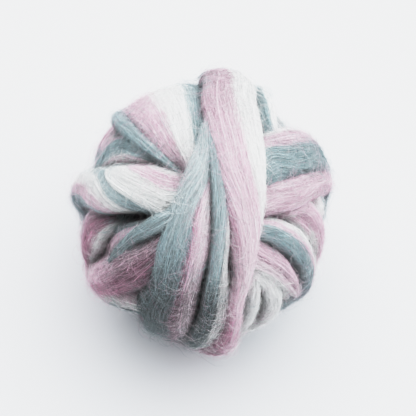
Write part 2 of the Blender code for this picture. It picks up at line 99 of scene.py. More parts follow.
# stops: (x, y, width, lift)
WRAPS = (
    Wrap("left_shoulder", 7.0, 120.0, 6.0, 20.0, 57.0, (
        (-50.5, 22.0, 21.0, 56.0), (-43.5, 30.5, 21.0, 57.0), (-35.0, 32.0, 19.0, 57.5),
        (-26.0, 27.5, 13.0, 57.0), (-17.0, 20.5, 8.0, 56.0))),
    Wrap("pocket_grey", 5.0, 4.0, 4.0, 8.0, 50.0, (
        (-22.0, -6.5, 6.0, 54.0), (-31.0, -9.0, 7.0, 53.0), (-40.0, -10.0, 6.0, 51.5))),
    Wrap("pocket_pink", 5.0, 4.0, 2.0, 8.0, 50.0, (
        (-30.0, -13.0, 10.0, 56.0), (-38.5, -17.0, 12.0, 56.0), (-43.0, -24.0, 12.0, 55.0))),
    Wrap("pocket_rim", 6.0, 0.0, 6.0, 8.0, 56.0, (
        (-46.0, -4.0, 12.0, 57.0), (-52.5, -6.5, 18.0, 60.5), (-56.0, -13.0, 17.5, 62.0),
        (-57.3, -20.5, 13.5, 62.0), (-55.5, -27.0, 10.0, 61.5))),
    Wrap("right_inner", 5.0, 5.0, 5.0, 8.0, 54.0, (
        (45.0, -3.0, 10.0, 60.0), (52.0, -8.0, 10.0, 61.5), (56.5, -17.0, 10.0, 62.5))),
    Wrap("right_arch", 6.0, 6.0, 60.0, 10.0, 56.0, (
        (42.5, -0.5, 6.0, 61.0), (52.5, 1.5, 10.0, 63.5), (58.5, -6.5, 11.5, 65.0),
        (59.7, -15.5, 11.0, 65.5), (58.3, -23.0, 9.0, 65.0))),
    Wrap("right_edge", 5.0, 12.0, 0.0, 10.0, 56.0, (
        (57.0, 9.0, 10.0, 63.5), (60.0, 3.0, 10.0, 65.0), (61.0, -2.5, 8.0, 65.0))),
    Wrap("low_white_inner", 6.0, 8.0, 80.0, 14.0, 58.0, (
        (25.5, -31.0, 8.0, 64.0), (25.7, -45.0, 9.5, 65.0), (22.5, -56.0, 10.5, 64.5))),
    Wrap("low_white_outer", 7.0, 5.0, 80.0, 14.0, 58.0, (
        (30.0, -31.0, 9.0, 64.0), (36.5, -41.0, 10.5, 65.5), (36.5, -49.0, 11.0, 65.8),
        (31.5, -56.0, 11.5, 64.8))),
    Wrap("low_white_end", 4.0, 4.0, 30.0, 8.0, 58.0, (
        (40.5, -39.0, 4.0, 62.0), (43.5, -43.0, 4.5, 63.0), (42.0, -50.0, 5.0, 63.0))),
    Wrap("notch", 5.0, 5.0, 2.0, 8.0, 55.0, (
        (33.0, 35.0, 7.0, 57.0), (36.5, 38.0, 6.5, 57.5), (40.0, 39.5, 6.0, 56.0))),
    Wrap("behind_front", 6.0, 120.0, 6.0, 16.0, 60.0, (
        (31.5, 61.0, 11.0, 67.0), (34.0, 51.0, 11.5, 65.5), (35.0, 42.0, 10.0, 63.0))),
    Wrap("fan_strand", 5.0, 150.0, 5.0, 12.0, 60.0, (
        (-41.5, 46.5, 9.0, 62.5), (-30.0, 35.0, 6.5, 62.0),
        (-20.0, 26.5, 5.0, 61.5), (-10.5, 18.5, 3.0, 60.0))),
    Wrap("fan", 9.0, 150.0, 6.0, 30.0, 60.0, (
        (-18.2, 59.2, 53.0, 62.5), (-11.0, 44.7, 37.5, 64.0),
        (-6.0, 29.0, 23.5, 63.5), (-3.5, 19.8, 12.0, 62.0))),
    Wrap("left_lobe", 10.0, 130.0, 8.0, 22.0, 60.0, (
        (-59.5, 11.3, 19.0, 64.0), (-50.0, 10.0, 23.0, 65.0), (-40.0, 11.0, 23.0, 65.5),
        (-25.0, 10.5, 23.0, 64.5), (-15.0, 7.5, 24.0, 63.0))),
    Wrap("right_pink", 9.0, 8.0, 130.0, 20.0, 60.0, (
        (32.0, 5.0, 17.0, 64.5), (45.0, 8.0, 17.0, 66.0),
        (56.0, 12.5, 15.0, 66.5), (64.0, 15.0, 14.0, 66.2))),
    Wrap("right_grey", 9.0, 8.0, 150.0, 26.0, 61.0, (
        (33.0, 22.8, 25.0, 65.0), (41.5, 27.4, 28.5, 66.0), (50.0, 30.0, 29.0, 66.8),
        (58.5, 29.0, 28.5, 66.5), (64.0, 26.5, 28.0, 66.2))),
    Wrap("right_curl", 8.0, 8.0, 4.0, 8.0, 56.0, (
        (31.0, -9.5, 12.0, 64.5), (41.5, -13.0, 14.0, 66.0), (49.5, -19.0, 14.0, 66.5),
        (54.0, -27.5, 12.0, 67.0), (54.0, -36.5, 11.5, 67.0), (50.5, -42.5, 11.5, 66.0),
        (43.5, -46.5, 10.5, 64.5))),
    Wrap("twisted_pink", 6.0, 6.0, 2.0, 6.0, 56.0, (
        (28.0, -22.5, 14.0, 65.0), (37.5, -28.3, 13.5, 66.3),
        (44.5, -35.8, 10.5, 67.0), (48.3, -41.5, 5.5, 65.5))),
    Wrap("low_left_under", 7.0, 5.0, 60.0, 14.0, 60.0, (
        (-14.0, -51.5, 14.0, 63.5), (-29.0, -48.0, 14.0, 64.7), (-44.5, -44.0, 12.0, 65.2))),
    Wrap("low_left", 10.0, 8.0, 130.0, 24.0, 60.0, (
        (-20.0, -20.0, 15.0, 64.0), (-32.5, -28.5, 22.5, 65.5),
        (-44.0, -35.0, 21.0, 65.5), (-53.5, -37.5, 22.0, 65.0))),
    Wrap("split_strand", 5.0, 5.0, 0.0, 6.0, 56.0, (
        (-14.0, -3.0, 8.0, 65.0), (-22.5, -7.6, 8.5, 64.5), (-32.2, -13.3, 7.0, 63.5),
        (-39.0, -18.9, 5.5, 62.5), (-42.8, -22.8, 4.0, 61.0))),
    Wrap("grey_run", 5.0, 5.0, 120.0, 20.0, 60.0, (
        (4.5, 38.0, 4.5, 65.0), (6.2, 28.0, 5.0, 66.0), (7.7, 18.0, 5.5, 66.5),
        (9.2, 8.0, 6.5, 67.0),
        (10.3, -5.0, 8.0, 67.0), (10.4, -15.0, 8.3, 67.0), (9.2, -25.0, 8.4, 67.0),
        (8.8, -35.0, 10.5, 67.0), (8.3, -45.0, 13.0, 67.0), (6.8, -55.0, 14.0, 67.5),
        (2.5, -65.0, 15.0, 68.0))),
    Wrap("broad_run", 8.0, 2.0, 110.0, 26.0, 61.0, (
        (2.0, 38.0, 4.0, 64.5), (1.5, 30.0, 7.0, 65.5), (-0.5, 20.0, 11.0, 66.5),
        (-2.5, 10.0, 15.0, 67.0), (-4.5, 0.0, 18.5, 67.5), (-6.0, -10.0, 21.5, 67.5),
        (-8.6, -20.0, 24.2, 67.5), (-11.2, -30.0, 24.5, 67.0), (-13.8, -40.0, 25.0, 66.5),
        (-17.5, -50.0, 29.0, 65.8), (-17.5, -60.0, 27.0, 64.8))),
    Wrap("front_run", 8.0, 9.0, 120.0, 26.0, 60.0, (
        (15.4, 68.0, 27.5, 70.3), (15.8, 54.0, 28.0, 70.3), (19.4, 30.0, 26.3, 69.0),
        (21.7, 5.0, 21.0, 69.0), (21.8, -13.0, 15.0, 69.0), (21.0, -30.0, 11.0, 69.0),
        (18.0, -45.0, 8.0, 69.5), (17.0, -57.5, 8.0, 70.5), (12.5, -69.0, 14.0, 72.0))),
)

# -------------------------------------------------------------------- looks
# colours of the roving: rose, deep rose, pale rose, white, grey
WOOL = {
    "r": (0.83, 0.655, 0.735),
    "d": (0.64, 0.41, 0.51),
    "l": (0.88, 0.77, 0.82),
    "w": (0.93, 0.935, 0.93),
    "g": (0.43, 0.522, 0.545),
}

# stripes: (colour, share of the width) from a wrap's right-hand edge, looking along it
# start: where the first stripe begins, lean: how far the stripes have slid at each stop
# grooves: (place across, depth in mm, width in mm)
# and at each stop the painted light and shade: below 1 the colour is darkened as painted shade,
# above 1 paled as painted light
LOOKS = {
    "left_shoulder": Look((("w", .06), ("r", .04), ("w", .05), ("r", .04), ("w", .04),
                           ("g", .43), ("r", .34)), 0.0,
                          (0, 0, 0, 0, 0), ((.32, .9, 1.2), (.74, 1.2, 1.4))),
    "pocket_grey": Look((("g", 1.0),), 0.0, (0, 0, 0), (), (.9, .85, .6)),
    "pocket_pink": Look((("r", .6), ("d", .4)), 0.0, (0, 0, 0), ((.5, .6, 1.2),),
                        (.95, .95, .75)),
    "pocket_rim": Look((("l", .18), ("r", .22), ("d", .42), ("w", .18)), 0.0, (0, 0, 0, 0, -.04),
                       ((.82, .9, 1.0), (.3, .5, 1.2)), (.6, .8, .9, .9, .8)),
    "right_inner": Look((("w", .3), ("r", .7)), 0.0, (0, 0, 0), ()),
    "right_arch": Look((("w", .14), ("r", .68), ("w", .18)), 0.0, (0, -.12, -.02, .06, .1), (),
                       (1.05, 1.05, 1, .96, .94)),
    "right_edge": Look((("w", .55), ("g", .45)), 0.0, (0, 0, 0), (), (1.2, 1.2, 1.2)),
    "low_white_inner": Look((("g", .15), ("w", .85)), 0.0, (0, 0, 0), ((.45, .5, 1.0),),
                            (.9, .9, .9)),
    "low_white_outer": Look((("w", 1.0),), 0.0, (0, 0, 0, 0), ((.55, .5, 1.2),)),
    "low_white_end": Look((("w", .6), ("g", .4)), 0.0, (0, 0, 0), ()),
    "notch": Look((("w", .4), ("g", .6)), 0.0, (0, 0, 0), (), (1.2, 1.2, 1.2)),
    "behind_front": Look((("g", .4), ("w", .6)), 0.0, (0, 0, 0), ()),
    "fan_strand": Look((("g", 1.0),), 0.0, (0, 0, 0, 0), ((.5, .5, 1.0),)),
    "fan": Look((("r", .36), ("w", .30), ("g", .34)), 0.0, (0, 0, 0, 0), ((.8, .7, 1.4),),
                (1.05, 1, .76, .5)),
    "left_lobe": Look((("g", .27), ("r", .28), ("w", .33), ("g", .25), ("w", .50), ("r", .26),
                       ("w", .3)), -0.9, (.95, .75, .24, -.08, -.16),
                      ((-.3, .7, 1.2), (0.0, .6, 1.0), (.2, .6, 1.0)), (1, 1.15, 1.1, 1, .95)),
    "right_pink": Look((("r", 1.0),), 0.0, (0, 0, 0, 0), ((.6, .5, 1.5), (.3, .4, 1.2)),
                       (.84, .8, .76, .8)),
    "right_grey": Look((("g", .57), ("r", .27), ("w", .16)), 0.0, (.18, .02, 0, .08, .12),
                       ((.08, .8, 1.2), (.60, .5, 1.4)), (.9, .82, .8, .8, .82)),
    "twisted_pink": Look((("w", .20), ("l", .24), ("r", .56)), 0.0, (0, 0, 0, 0),
                         ((.48, 1.5, 1.0),), (.92, .84, .80, .8)),
    "right_curl": Look((("g", .57), ("r", .16), ("w", .42)), 0.0,
                       (.16, .03, -.02, -.03, -.05, -.02, 0),
                       ((.12, .6, .8), (.3, .4, .8), (.74, .6, 1.2))),
    "low_left_under": Look((("l", .3), ("w", .35), ("g", .35)), 0.0, (0, 0, 0), ((.5, .6, 1.2),),
                           (.4, .4, .6)),
    "low_left": Look((("r", .40), ("d", .45), ("r", .15)), 0.0, (0, 0, 0, 0),
                     ((.35, .6, 1.6), (.82, .6, 1.4)), (.42, .46, .78, 1.2)),
    "split_strand": Look((("g", 1.0),), 0.0, (0, 0, 0, 0, 0), ((.5, .5, .8), (.25, .3, .6)),
                         (1.1, .85, .72, .64, .6)),
    "grey_run": Look((("g", .65), ("w", .60)), 0.0,
                     (.35, .35, .3, .25, .1, 0, -.03, -.08, -.14, -.16, -.16),
                     ((.65, .9, 1.0),), (1, 1, 1.05, 1.1, 1.12, 1.12, 1, .7, .32, .24, .38)),
    "broad_run": Look((("g", .58), ("d", .08), ("r", .08), ("l", .16), ("r", .10)), 0.0,
                      (.45, .45, .40, .20, .05, 0, 0, 0, 0, 0, 0),
                      ((.2, .5, 1.2), (.4, .5, 1.2), (.58, 1.4, 1.6)),
                      (1.15, 1.25, 1.32, 1.3, 1.16, 1.06, .92, .66, .35, .26, .38)),
    "front_run": Look((("d", .36), ("r", .65), ("w", .6)), -0.51,
                      (0, .02, .06, .24, .45, .56, .56, .56, .5),
                      ((.3, .4, 1.6), (-.15, .6, 1.2)),
                      (.64, .78, .97, 1.05, 1.18, 1.3, 1.22, 1, .82)),
}
HIDDEN_LOOKS = (
    Look((("r", .4), ("w", .3), ("g", .3)), 0.0, (0, 0, 0), ((.4, .6, 1.4), (.7, .6, 1.4))),
    Look((("g", .5), ("r", .3), ("w", .2)), 0.0, (0, 0, 0), ((.5, .6, 1.4), (.8, .6, 1.4))),
    Look((("w", .4), ("g", .3), ("r", .3)), 0.0, (0, 0, 0), ((.4, .6, 1.4), (.7, .6, 1.4))),
)

POLE = np.array((1.0, 0.0, 0.0))


def ease(x):
    x = np.clip(x, 0.0, 1.0)
    return x * x * (3.0 - 2.0 * x)


def along(t, knots, values):
    """Values at t degrees round a wrap, through its knots without overshoot."""
    k = np.concatenate([[knots[-1] - 360.0], knots, [knots[0] + 360.0, knots[1] + 360.0]])
    y = np.concatenate([[values[-1]], values, [values[0], values[1]]])
    step = np.diff(k)
    slope = np.diff(y) / step
    bend = np.zeros(len(k))
    same = slope[:-1] * slope[1:] > 0.0
    both = (slope[:-1] + slope[1:])[same]
    bend[1:-1][same] = 2.0 * (slope[:-1] * slope[1:])[same] / both
    t = np.mod(t - k[1], 360.0) + k[1]
    i = np.clip(np.searchsorted(k, t, side="right") - 1, 1, len(k) - 2)
    f = (t - k[i]) / step[i]
    rise = f * f * (3.0 - 2.0 * f)
    start = f * (1.0 - f) ** 2 * step[i] * bend[i]
    end = f * f * (f - 1.0) * step[i] * bend[i + 1]
    return (1.0 - rise) * y[i] + rise * y[i + 1] + start + end


def seen_at(x, y, radius):
    """Unit direction of the point at this radius seen at (x, y) from the best side."""
    q = x * x + y * y + EYE * EYE
    reach = EYE ** 4 - q * (EYE * EYE - radius * radius)
    s = (EYE * EYE - max(reach, 0.0) ** 0.5) / q
    p = np.array((x * s, y * s, EYE * (1.0 - s)))
    return p / np.linalg.norm(p)


def unit(v):
    return v / np.maximum(np.linalg.norm(v, axis=-1, keepdims=True), 1e-9)


def soften(grid, axis, closed):
    if closed:
        return 0.25 * np.roll(grid, 1, axis) + 0.5 * grid + 0.25 * np.roll(grid, -1, axis)
    wide = np.concatenate([grid[:, :1], grid, grid[:, -1:]], 1)
    return 0.25 * wide[:, :-2] + 0.5 * wide[:, 1:-1] + 0.25 * wide[:, 2:]


class Noise:
    """Smooth value noise on a grid of seeded numbers."""

    def __init__(self, seed, size=64):
        self.size = size
        self.grid = np.random.default_rng(seed).random((size, size)) * 2.0 - 1.0

    def __call__(self, a, b):
        i, j = np.floor(a).astype(int), np.floor(b).astype(int)
        fa, fb = ease(a - i), ease(b - j)
        i, j = i % self.size, j % self.size
        i2, j2 = (i + 1) % self.size, (j + 1) % self.size
        low = self.grid[i, j] * (1.0 - fb) + self.grid[i, j2] * fb
        high = self.grid[i2, j] * (1.0 - fb) + self.grid[i2, j2] * fb
        return low * (1.0 - fa) + high * fa


# painted shade in folds: the colour of the wool is darkened by how deep a place lies below its
# surroundings
RINGS = ((3.5, 10), (7.0, 12))      # mm from a place, samples round it
RING_RADIUS = 62.0                  # height at which those mm are measured
CAVITY_SPAN = 5.0                   # mm below its surroundings that counts as deepest
CAVITY_START = 0.2                  # mm below its surroundings that still counts as open
FOLD_PAINTED_SHADE = 0.9                   # how much light the deepest fold loses


class Path:
    """A wrap as a ring on the ball, with its width, crown and sideways drift round it."""

    def __init__(self, thick, before, after, stops, far, look, seed):
        self.thick = thick
        self.before = before
        self.after = after
        self.look = look
        self.seed = seed
        points = [p / np.linalg.norm(p) for p, _, _ in stops]
        first, middle, last = points[0], points[len(points) // 2], points[-1]
        normal = np.cross(middle - first, last - middle)
        self.normal = normal / np.linalg.norm(normal)
        offset = float(self.normal @ first)
        self.level = float(np.arcsin(offset))
        start = first - offset * self.normal
        self.start = start / np.linalg.norm(start)
        self.side = np.cross(self.normal, self.start)
        turn = [float(np.degrees(np.arctan2(p @ self.side, p @ self.start))) % 360.0
                for p in points[1:]]
        self.last = turn[-1]
        self.knots = np.array([0.0] + turn + [0.5 * (self.last + 360.0)])
        self.widths = np.array([w for _, w, _ in stops] + [far[0]])
        self.lifts = np.array([h for _, _, h in stops] + [far[1]])
        drift = [float(np.arcsin(p @ self.normal)) - self.level for p in points]
        self.drifts = np.array(drift + [0.0])
        self.leans = np.array(list(look.lean) + [0.5 * (look.lean[0] + look.lean[-1])], float)
        tone = list(look.tone) or [1.0] * len(stops)
        self.painted_shading_knots = np.array(tone + [0.5 * (tone[0] + tone[-1])], float)
        self.reach = np.radians(1.0) * BALL_RADIUS * np.cos(self.level)     # mm in a degree
        self.noise = Noise(seed)

    def middle(self, t):
        return self.level + along(t, self.knots, self.drifts)

    def half_angle(self, t):
        lift = along(t, self.knots, self.lifts)
        return 0.5 * along(t, self.knots, self.widths) / (lift - 0.4 * self.thick)

    def crown(self, t):
        return along(t, self.knots, self.lifts)

    def slide(self, t):
        return along(t, self.knots, self.leans)

    # painted light and shade round the wrap
    def tone(self, t):
        return along(t, self.knots, self.painted_shading_knots)

    def tuck(self, t):
        t = np.mod(t, 360.0)
        past = np.where(t <= self.last, 0.0, (t - self.last) * self.reach)
        ahead = np.where(t <= self.last, 0.0, (360.0 - t) * self.reach)
        after = 1.0 - ease((past - self.after) / TUCK_RUN)
        before = 1.0 - ease((ahead - self.before) / TUCK_RUN)
        return TUCK_DEPTH * (1.0 - np.maximum(after, before))

    def span(self):
        """First and last degree that need a surface."""
        gap = 360.0 - self.last
        if (self.before + self.after) / self.reach >= gap:
            seam = 0.5 * (self.last + 360.0)
            return seam - 360.0, seam
        start = -min((self.before + TUCK_RUN) / self.reach, 0.5 * gap)
        end = self.last + min((self.after + TUCK_RUN) / self.reach, 0.5 * gap)
        return start, end

    def directions(self, t, angle):
        t = np.radians(t)[..., None]
        ring = np.cos(t) * self.start + np.sin(t) * self.side
        angle = angle[..., None]
        return np.sin(angle) * self.normal + np.cos(angle) * ring

    def point(self, t, q):
        return self.directions(t, self.middle(t) + self.half_angle(t) * q)

    def locate(self, d):
        """Degrees round the wrap and place across it, -1 to 1, of a direction."""
        t = np.degrees(np.arctan2(d @ self.side, d @ self.start))
        level = np.arcsin(np.clip(d @ self.normal, -1.0, 1.0))
        return t, (level - self.middle(t)) / self.half_angle(t)

    def strands(self, t, q):
        """Height of the lengthwise strands and grooves, mm."""
        place = 0.5 * (q + 1.0) - self.slide(t)
        widest = float(self.widths.max())
        across = place * widest
        run = t * self.reach
        wander = 0.5 * self.noise(run / 30.0, across / 9.0 + 40.0)
        h = 0.20 * self.noise(run / 30.0, (across + wander) / 2.6)
        h += 0.15 * self.noise(run / 18.0 + 20.0, (across + wander) / 1.2)
        h += 0.16 * self.noise(run / 9.0, across / 5.0 + 20.0)
        for spot, depth, wide in self.look.grooves:
            away = (place - spot) * widest + 0.8 * self.noise(run / 18.0, spot * 9.0 + 7.0)
            h = h - depth * np.exp(-(away / wide) ** 2) * (0.7 + 0.5 * self.noise(run / 22.0, spot))
        return h * ease((1.0 - np.abs(q)) / 0.12 + 0.25)

    def surface(self, t, q):
        """Distance of the wrap's top from the ball's centre."""
        q = np.clip(q, -1.0, 1.0)
        run = np.mod(t, 360.0) / 360.0 * RUN_STEPS
        i = np.floor(run).astype(int) % RUN_STEPS
        fi = run - np.floor(run)
        i2 = (i + 1) % RUN_STEPS
        cross = 0.5 * (q + 1.0) * (ACROSS_STEPS - 1)
        j = np.clip(np.floor(cross).astype(int), 0, ACROSS_STEPS - 2)
        fj = cross - j
        low = self.bed[i, j] * (1.0 - fj) + self.bed[i, j + 1] * fj
        high = self.bed[i2, j] * (1.0 - fj) + self.bed[i2, j + 1] * fj
        section = np.sqrt(np.maximum(1.0 - np.abs(q) ** EDGE_POWER, 0.0))
        own = self.crown(t) - self.thick * (1.0 - section)
        over = low * (1.0 - fi) + high * fi + LAY * section - 0.3
        return np.maximum(own, over) + BLEND * np.exp(-np.abs(own - over)) - self.tuck(t)


class Heights:
    """Distance of the ball's surface from its centre, and the wrap on top, by direction."""

    def __init__(self, radius):
        lon = np.linspace(-np.pi, np.pi, ROUND_STEPS, endpoint=False)
        lat = np.linspace(-0.5 * np.pi, 0.5 * np.pi, RISE_STEPS)
        lon, lat = np.meshgrid(lon, lat)
        parts = (np.sin(lat), np.cos(lat) * np.sin(lon), np.cos(lat) * np.cos(lon))
        self.dirs = np.stack(parts, -1)
        self.grid = np.full(lon.shape, radius)
        self.owner = np.full(lon.shape, -1)

    def cell(self, d):
        lat = np.arcsin(np.clip(d @ POLE, -1.0, 1.0))
        lon = np.arctan2(d[..., 1], d[..., 2])
        return (lat / np.pi + 0.5) * (RISE_STEPS - 1), (lon / (2.0 * np.pi) + 0.5) * ROUND_STEPS

    def read(self, grid, a, b):
        """Values of a map between its cells."""
        rows, columns = grid.shape
        i = np.clip(np.floor(a).astype(int), 0, rows - 2)
        fa = a - i
        j = np.floor(b).astype(int)
        fb = b - j
        j = j % columns
        k = (j + 1) % columns
        low = grid[i, j] * (1.0 - fb) + grid[i, k] * fb
        high = grid[i + 1, j] * (1.0 - fb) + grid[i + 1, k] * fb
        return low * (1.0 - fa) + high * fa

    def at(self, d):
        a, b = self.cell(d)
        return self.read(self.grid, a, b)

    def shade(self):
        """Painted shade by how deep the wool lies: 1 in the open, less in a fold, multiplied into
        the colour.
        """
        d = self.dirs[::2, ::2]
        here = self.at(d)
        side = unit(np.cross(d, np.array((0.31, 0.53, 0.79))))
        other = np.cross(d, side)
        around = np.zeros(here.shape)
        count = 0
        for reach, samples in RINGS:
            for k in range(samples):
                a = 2.0 * np.pi * k / samples
                off = (np.cos(a) * side + np.sin(a) * other) * (reach / RING_RADIUS)
                around += self.at(unit(d + off))
                count += 1
        deep = np.clip((around / count - here - CAVITY_START) / CAVITY_SPAN, 0.0, 1.0)
        self.light = 1.0 - FOLD_PAINTED_SHADE * ease(deep)
        for _ in range(2):
            self.light = soften(soften(self.light, 0, True), 1, True)

    # painted shade of the folds, read at these directions as a factor for the colour
    def painted_shade_at(self, d):
        a, b = self.cell(d)
        return self.read(self.light, 0.5 * a, 0.5 * b)[..., None]

    def top(self, d):
        a, b = self.cell(d)
        i = np.clip(np.rint(a).astype(int), 0, RISE_STEPS - 1)
        return self.owner[i, np.rint(b).astype(int) % ROUND_STEPS]

    def bed(self, path):
        t = np.arange(RUN_STEPS) * 360.0 / RUN_STEPS
        across = np.linspace(-1.0, 1.0, ACROSS_STEPS)
        angle = path.middle(t)[:, None] + path.half_angle(t)[:, None] * across
        below = self.at(path.directions(t[:, None], angle))
        taut = below
        for _ in range(50):
            taut = np.maximum(below, soften(taut, 0, True))
        sag = below
        for _ in range(6):
            sag = soften(soften(sag, 0, True), 1, False)
        bed = 0.5 * (taut + sag)
        for _ in range(3):
            bed = soften(soften(bed, 0, True), 1, False)
        return bed

    def lay(self, path, number):
        path.bed = self.bed(path)
        level = np.arcsin(np.clip(self.dirs @ path.normal, -1.0, 1.0))
        reach = float(path.half_angle(np.arange(0.0, 360.0)).max())
        swing = float(np.abs(path.drifts).max())
        near = np.abs(level - path.level) < reach + swing + 0.02
        dirs = self.dirs[near]
        t = np.degrees(np.arctan2(dirs @ path.side, dirs @ path.start)) % 360.0
        q = (level[near] - path.middle(t)) / path.half_angle(t)
        top = np.where(np.abs(q) < 1.0, path.surface(t, q), 0.0)
        grid, owner = self.grid[near], self.owner[near]
        up = top > grid
        grid[up] = top[up]
        owner[up] = number
        self.grid[near] = grid
        self.owner[near] = owner


def spread_axes(count, turn):
    golden = np.pi * (3.0 - 5.0 ** 0.5)
    for i in range(count):
        z = (i + 0.5) / count
        r = (1.0 - z * z) ** 0.5
        a = i * golden + turn
        yield np.array((r * np.cos(a), r * np.sin(a), z))


def ring_path(axis, spread, width, lift, tuck, seed):
    rear = np.array((0.0, 0.0, -1.0))
    u = rear - (rear @ axis) * axis
    u /= np.linalg.norm(u)
    v = np.cross(axis, u)
    angle = np.radians(spread)
    side = np.sin(angle) * v
    ring = (np.cos(angle) * u - side, u, np.cos(angle) * u + side)
    stops = [(p, width, lift) for p in ring]
    look = HIDDEN_LOOKS[seed % len(HIDDEN_LOOKS)]
    return Path(HIDDEN_THICK, tuck, tuck, stops, (width, lift), look, seed)


def hidden_paths():
    for i, axis in enumerate(spread_axes(UNDER_COUNT, 0.0)):
        yield ring_path(axis, UNDER_SPREAD, UNDER_WIDTH, UNDER_LIFT + UNDER_RISE * i, FULL, i)
    for i, axis in enumerate(spread_axes(BACK_COUNT, 0.7)):
        lift = BACK_LIFT + BACK_RISE * i
        yield ring_path(axis, BACK_SPREAD, BACK_WIDTH, lift, BACK_TUCK, UNDER_COUNT + i)


def wrap_path(wrap, seed):
    stops = []
    for x, y, width, lift in wrap.stops:
        facing = seen_at(x, y, lift)[2]
        edge = lift - 0.8 * wrap.thick * facing * facing
        stops.append((seen_at(x, y, edge), width, lift))
    far = (wrap.far_width, wrap.far_lift)
    return Path(wrap.thick, wrap.before, wrap.after, stops, far, LOOKS[wrap.name], seed)


def pit_depth(d):
    depth = np.zeros(d.shape[:-1])
    for pit in PITS:
        where = seen_at(pit.x, pit.y, UNDER_LIFT + 4.0)
        away = np.arccos(np.clip(d @ where, -1.0, 1.0)) * (UNDER_LIFT + 4.0)
        depth += pit.depth * np.exp(-(away / pit.radius) ** 2)
    return depth


def wind():
    """Lay every wrap. Returns the height map and the paths, with what each lies on."""
    heights = Heights(CORE)
    paths = []
    for path in hidden_paths():
        path.dug = True
        heights.lay(path, len(paths))
        paths.append(path)
    heights.grid -= pit_depth(heights.dirs)
    for wrap in WRAPS:
        path = wrap_path(wrap, 101 + len(paths))
        path.dug = False
        heights.lay(path, len(paths))
        paths.append(path)
    return heights, paths


def face_axes():
    tilt = np.radians(FACE_TILT)
    right = np.array((1.0, 0.0, 0.0))
    up = np.array((0.0, np.sin(tilt), np.cos(tilt)))
    out = np.array((0.0, -np.cos(tilt), np.sin(tilt)))
    return np.stack((right, up, out))


AXES = face_axes()


def place(points):
    """Face-frame mm to row-frame metres, kept off the floor."""
    world = points @ AXES + CENTRE
    world[..., 2] = np.maximum(world[..., 2], FLOOR_GAP)
    return world * MM


# ------------------------------------------------------------------- colour
BORDER_WAVE = 0.020                 # how far a border wanders and how soft it is, in widths
BORDER_SOFT = 0.03
PALEST = 0.93
LIMIT = 0.94                        # no wool is brighter


def stripe_colour(path, t, q, spill):
    """Colour across a wrap, with uneven soft borders."""
    look = path.look
    v = 0.5 * (q + 1.0) - path.slide(t) - look.start
    run = t * path.reach
    v = v + BORDER_WAVE * path.noise(run / 17.0, v * 3.0 + 11.0) + spill
    colour = np.broadcast_to(WOOL[look.stripes[0][0]], v.shape + (3,)).copy()
    edge = 0.0
    for (_, share), (name, _) in zip(look.stripes, look.stripes[1:]):
        edge += share
        mix = ease((v - edge) / BORDER_SOFT + 0.5)[..., None]
        colour = colour * (1.0 - mix) + np.array(WOOL[name]) * mix
    # painted light and shade: below 1 the colour is darkened as painted shade, above 1 it is paled
    # towards white as painted light; whites are darkened less
    tone = path.tone(t)[..., None]
    pale = np.clip((colour.min(-1, keepdims=True) - 0.6) / 0.3, 0.0, 1.0)
    colour = colour * (1.0 - (1.0 - np.minimum(tone, 1.0)) * (1.0 - 0.6 * pale))
    return np.clip(colour + (PALEST - colour) * np.clip(tone - 1.0, 0.0, 1.0), 0.0, LIMIT)


# ------------------------------------------------------------------- meshes
def link_mesh(name, verts, faces, colour, floats, material):
    mesh = bpy.data.meshes.new(name)
    mesh.from_pydata(verts, [], faces)
    tint = mesh.attributes.new("tint", "FLOAT_COLOR", "POINT")
    rgba = np.concatenate([colour, np.ones((len(colour), 1))], 1)
    tint.data.foreach_set("color", rgba.astype(np.float32).ravel())
    for key, values in floats.items():
        layer = mesh.attributes.new(key, "FLOAT", "POINT")
        layer.data.foreach_set("value", values.astype(np.float32).ravel())
    mesh.polygons.foreach_set("use_smooth", np.ones(len(mesh.polygons), bool))
    mesh.materials.append(material)
    mesh.update()
    piece = bpy.data.objects.new(name, mesh)
    bpy.context.scene.collection.objects.link(piece)
    return piece


# painted shade: the packed wool under the loose fibres is darkened, as if shaded by them
BASE_PAINTED_SHADE = 0.85                    # packed wool under the loose fibres
# mm between the rows and the columns of a band: best side, back, core
FINE, PLAIN, ROUGH = (2.0, 0.6), (2.4, 0.8), (4.0, 1.7)


def band(name, path, material):
    """One wrap as a closed band: rolled top, flat underside, closed ends."""
    begin, end = path.span()
    along_mm, across_mm = ROUGH if path.before >= FULL else PLAIN if path.dug else FINE
    rows = max(int((end - begin) * path.reach / along_mm), 8)
    cols = int(np.clip(path.widths.max() / across_mm, 9, 60))
    t = np.linspace(begin, end, rows + 1)
    q = np.sin(0.5 * np.pi * np.linspace(-1.0, 1.0, cols))
    tt, qq = np.meshgrid(t, q, indexing="ij")
    height = path.surface(tt, qq) + path.strands(tt, qq)
    dirs = path.point(tt, qq)
    if path.dug:
        height -= pit_depth(dirs)
    top = dirs * height[..., None]
    under_q = np.array((0.8, 0.0, -0.8))
    tu, qu = np.meshgrid(t, under_q, indexing="ij")
    low = np.minimum(height[:, :1], height[:, -1:]) - 2.5
    under = path.point(tu, qu) * np.broadcast_to(low, qu.shape)[..., None]
    loop = np.concatenate([top, under], 1)
    tl, ql = np.concatenate([tt, tu], 1), np.concatenate([qq, qu], 1)
    wide = loop.shape[1]
    i, j = np.meshgrid(np.arange(rows), np.arange(wide), indexing="ij")
    a = i * wide + j
    b = i * wide + (j + 1) % wide
    faces = np.stack([a, b, b + wide, a + wide], -1).reshape(-1, 4).tolist()
    faces.append(list(range(wide))[::-1])
    faces.append(list(range(rows * wide, (rows + 1) * wide)))
    # the band's colour carries the painted fold shade and the painted shade under the fibres
    colour = stripe_colour(path, tl, ql, 0.0) * HEIGHTS.painted_shade_at(unit(loop)) * BASE_PAINTED_SHADE
    colour = colour.reshape(-1, 3)
    widest = float(path.widths.max())
    across = (0.5 * (ql + 1.0) - path.slide(tl)) * widest
    floats = {"run": tl * path.reach, "across": across}
    return link_mesh(name, place(loop.reshape(-1, 3)), faces, colour, floats, material)


